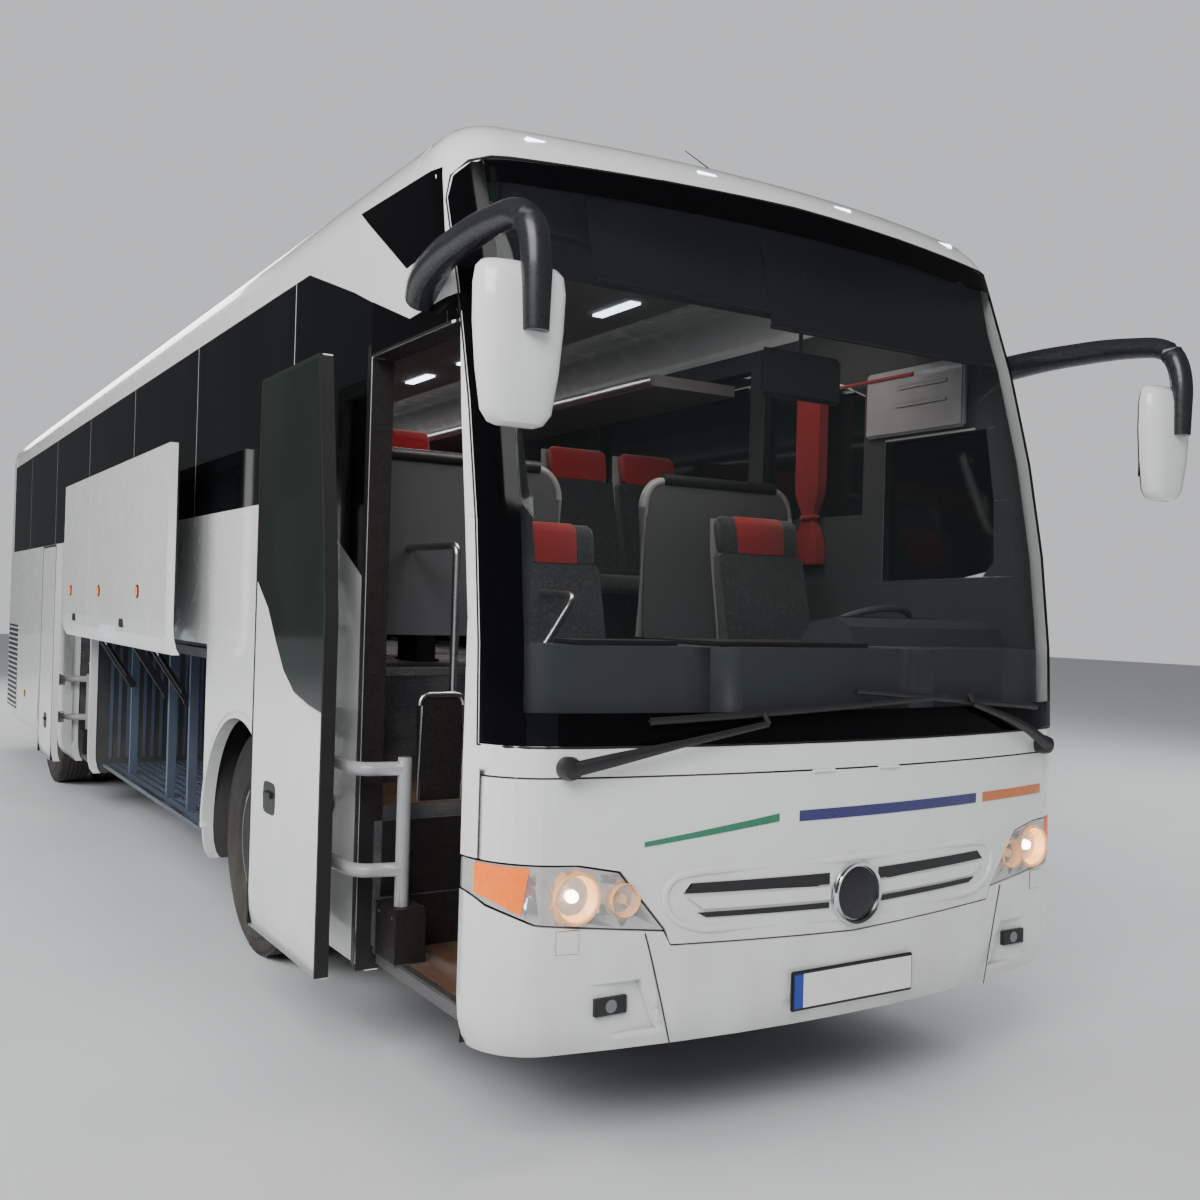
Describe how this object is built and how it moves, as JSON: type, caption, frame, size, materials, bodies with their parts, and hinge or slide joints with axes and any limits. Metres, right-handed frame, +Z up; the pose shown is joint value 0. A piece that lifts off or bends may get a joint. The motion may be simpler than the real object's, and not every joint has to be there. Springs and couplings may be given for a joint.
{
  "type": "airport passenger bus",
  "caption": "High-floor touring coach used as an airport bus, with swing-out doors open and luggage flaps raised.",
  "frame": {"origin": "on the ground, under the middle of the overall length and width", "axes": "+Z up, the front faces -Y, +X is the driver side"},
  "size_m": [3.106, 12.3426, 3.62],
  "materials": {
    "arm_grey": "satin",
    "black_plastic": "satin",
    "black_steel": "satin",
    "clear_lens": "polished",
    "dash": "matt",
    "engine_iron": "rough",
    "floor": "matt",
    "frame_paint": "satin",
    "glass": "polished",
    "lamp_bucket": "glossy",
    "lining": "satin",
    "rack": "satin",
    "rail": "satin",
    "red_lens": "glossy",
    "rim_steel": "satin",
    "seat_cloth": "matt",
    "tyre": "matt",
    "white_paint": "glossy"
  },
  "bodies": {
    "coach": {"underframe": "frame_paint", "front_mask": "white_paint", "front_bumper": "white_paint", "headlamps": "lamp_bucket", "headlamp_covers": "clear_lens", "windscreen": "glass", "side_right": "white_paint", "side_left": "white_paint", "side_glass": "glass", "roof": "white_paint", "roof_unit": "white_paint", "rear_wall": "white_paint", "rear_glass": "glass", "rear_lamps": "red_lens", "deck": "floor", "bay_lining": "lining", "dashboard": "dash", "partitions": "rack", "seats": "seat_cloth", "racks": "rack", "handrails": "rail", "mirror_arms": "black_plastic", "mirror_heads": "white_paint", "wipers": "black_plastic", "front_axle": "frame_paint", "rear_axle": "frame_paint", "engine": "engine_iron"},
    "steering_left": {"knuckle_left": "frame_paint"},
    "steering_right": {"knuckle_right": "frame_paint"},
    "wheel_front_left": {"tyre_front_left": "tyre", "rim_front_left": "rim_steel"},
    "wheel_front_right": {"tyre_front_right": "tyre", "rim_front_right": "rim_steel"},
    "wheel_rear_left": {"tyre_rear_left": "tyre", "rim_rear_left": "rim_steel"},
    "wheel_rear_right": {"tyre_rear_right": "tyre", "rim_rear_right": "rim_steel"},
    "nose_flap": {"nose_lid": "white_paint"},
    "engine_flap": {"engine_lid": "white_paint"},
    "front_door_swing": {"front_door_arms": "arm_grey"},
    "front_door_leaf": {"front_door": "white_paint", "front_door_glass": "glass"},
    "mid_door_swing": {"mid_door_arm": "arm_grey"},
    "mid_door_leaf": {"mid_door": "white_paint"},
    "lever_right_front": {"levers_right_front": "black_steel"},
    "luggage_right_front": {"flap_right_front": "white_paint"},
    "lever_right_rear": {"levers_right_rear": "black_steel"},
    "luggage_right_rear": {"flap_right_rear": "white_paint"},
    "lever_left_front": {"levers_left_front": "black_steel"},
    "luggage_left_front": {"flap_left_front": "white_paint"},
    "lever_left_rear": {"levers_left_rear": "black_steel"},
    "luggage_left_rear": {"flap_left_rear": "white_paint"}
  },
  "joints": [
    {"name": "steer_left", "type": "hinge", "parent": "coach", "child": "steering_left", "pos_m": [0.93, -3.1975, 0.522], "axis": [0, 0, 1], "range_deg": [-45, 45]},
    {"name": "spin_front_left", "type": "hinge", "parent": "steering_left", "child": "wheel_front_left", "pos_m": [1.048, -3.1975, 0.522], "axis": [1, 0, 0], "continuous": true},
    {"name": "spin_rear_left", "type": "hinge", "parent": "coach", "child": "wheel_rear_left", "pos_m": [0.92, 2.8825, 0.522], "axis": [1, 0, 0], "continuous": true},
    {"name": "steer_right", "type": "hinge", "parent": "coach", "child": "steering_right", "pos_m": [-0.93, -3.1975, 0.522], "axis": [0, 0, 1], "range_deg": [-45, 45]},
    {"name": "spin_front_right", "type": "hinge", "parent": "steering_right", "child": "wheel_front_right", "pos_m": [-1.048, -3.1975, 0.522], "axis": [1, 0, 0], "continuous": true},
    {"name": "spin_rear_right", "type": "hinge", "parent": "coach", "child": "wheel_rear_right", "pos_m": [-0.92, 2.8825, 0.522], "axis": [1, 0, 0], "continuous": true},
    {"name": "nose_lid_hinge", "type": "hinge", "parent": "coach", "child": "nose_flap", "pos_m": [0, -5.9665, 1.165], "axis": [-1, 0, 0], "range_deg": [0, 80]},
    {"name": "engine_lid_hinge", "type": "hinge", "parent": "coach", "child": "engine_flap", "pos_m": [0, 6.1655, 1.594], "axis": [1, 0, 0], "range_deg": [0, 75]},
    {"name": "front_door_arm_hinge", "type": "hinge", "parent": "coach", "child": "front_door_swing", "pos_m": [-1.17, -4.9275, 0.9], "axis": [0, 0, 1], "range_deg": [0, 151.56]},
    {"name": "front_door_leaf_hinge", "type": "hinge", "parent": "front_door_swing", "child": "front_door_leaf", "pos_m": [-1.355, -4.58594, 0.9], "axis": [0, 0, 1], "range_deg": [-151.56, 0]},
    {"name": "mid_door_arm_hinge", "type": "hinge", "parent": "coach", "child": "mid_door_swing", "pos_m": [-1.17, 1.4325, 0.85], "axis": [0, 0, 1], "range_deg": [0, 144.4]},
    {"name": "mid_door_leaf_hinge", "type": "hinge", "parent": "mid_door_swing", "child": "mid_door_leaf", "pos_m": [-1.345, 1.6769, 0.85], "axis": [0, 0, 1], "range_deg": [-144.4, 0]},
    {"name": "lever_right_front_hinge", "type": "hinge", "parent": "coach", "child": "lever_right_front", "pos_m": [-1.107, -1.2332, 1.05], "axis": [0, 1, 0], "range_deg": [-137, 0]},
    {"name": "luggage_right_front_hinge", "type": "hinge", "parent": "lever_right_front", "child": "luggage_right_front", "pos_m": [-1.41472, -1.2332, 1.52385], "axis": [0, 1, 0], "range_deg": [0, 137]},
    {"name": "lever_right_rear_hinge", "type": "hinge", "parent": "coach", "child": "lever_right_rear", "pos_m": [-1.107, 0.1525, 1.05], "axis": [0, 1, 0], "range_deg": [-137, 0]},
    {"name": "luggage_right_rear_hinge", "type": "hinge", "parent": "lever_right_rear", "child": "luggage_right_rear", "pos_m": [-1.41472, 0.1525, 1.52385], "axis": [0, 1, 0], "range_deg": [0, 137]},
    {"name": "lever_left_front_hinge", "type": "hinge", "parent": "coach", "child": "lever_left_front", "pos_m": [1.107, -1.2332, 1.05], "axis": [0, -1, 0], "range_deg": [0, 137]},
    {"name": "luggage_left_front_hinge", "type": "hinge", "parent": "lever_left_front", "child": "luggage_left_front", "pos_m": [1.20511, -1.2332, 0.49358], "axis": [0, -1, 0], "range_deg": [-137, 0]},
    {"name": "lever_left_rear_hinge", "type": "hinge", "parent": "coach", "child": "lever_left_rear", "pos_m": [1.107, 0.1525, 1.05], "axis": [0, -1, 0], "range_deg": [0, 137]},
    {"name": "luggage_left_rear_hinge", "type": "hinge", "parent": "lever_left_rear", "child": "luggage_left_rear", "pos_m": [1.20511, 0.1525, 0.49358], "axis": [0, -1, 0], "range_deg": [-137, 0]}
  ],
  "couplings": [
    {"joint": "steer_right", "follows": "steer_left", "ratio": 1},
    {"joint": "front_door_leaf_hinge", "follows": "front_door_arm_hinge", "ratio": -1},
    {"joint": "mid_door_leaf_hinge", "follows": "mid_door_arm_hinge", "ratio": -1},
    {"joint": "luggage_right_front_hinge", "follows": "lever_right_front_hinge", "ratio": -1},
    {"joint": "luggage_right_rear_hinge", "follows": "lever_right_rear_hinge", "ratio": -1},
    {"joint": "luggage_left_front_hinge", "follows": "lever_left_front_hinge", "ratio": -1},
    {"joint": "luggage_left_rear_hinge", "follows": "lever_left_rear_hinge", "ratio": -1}
  ]
}
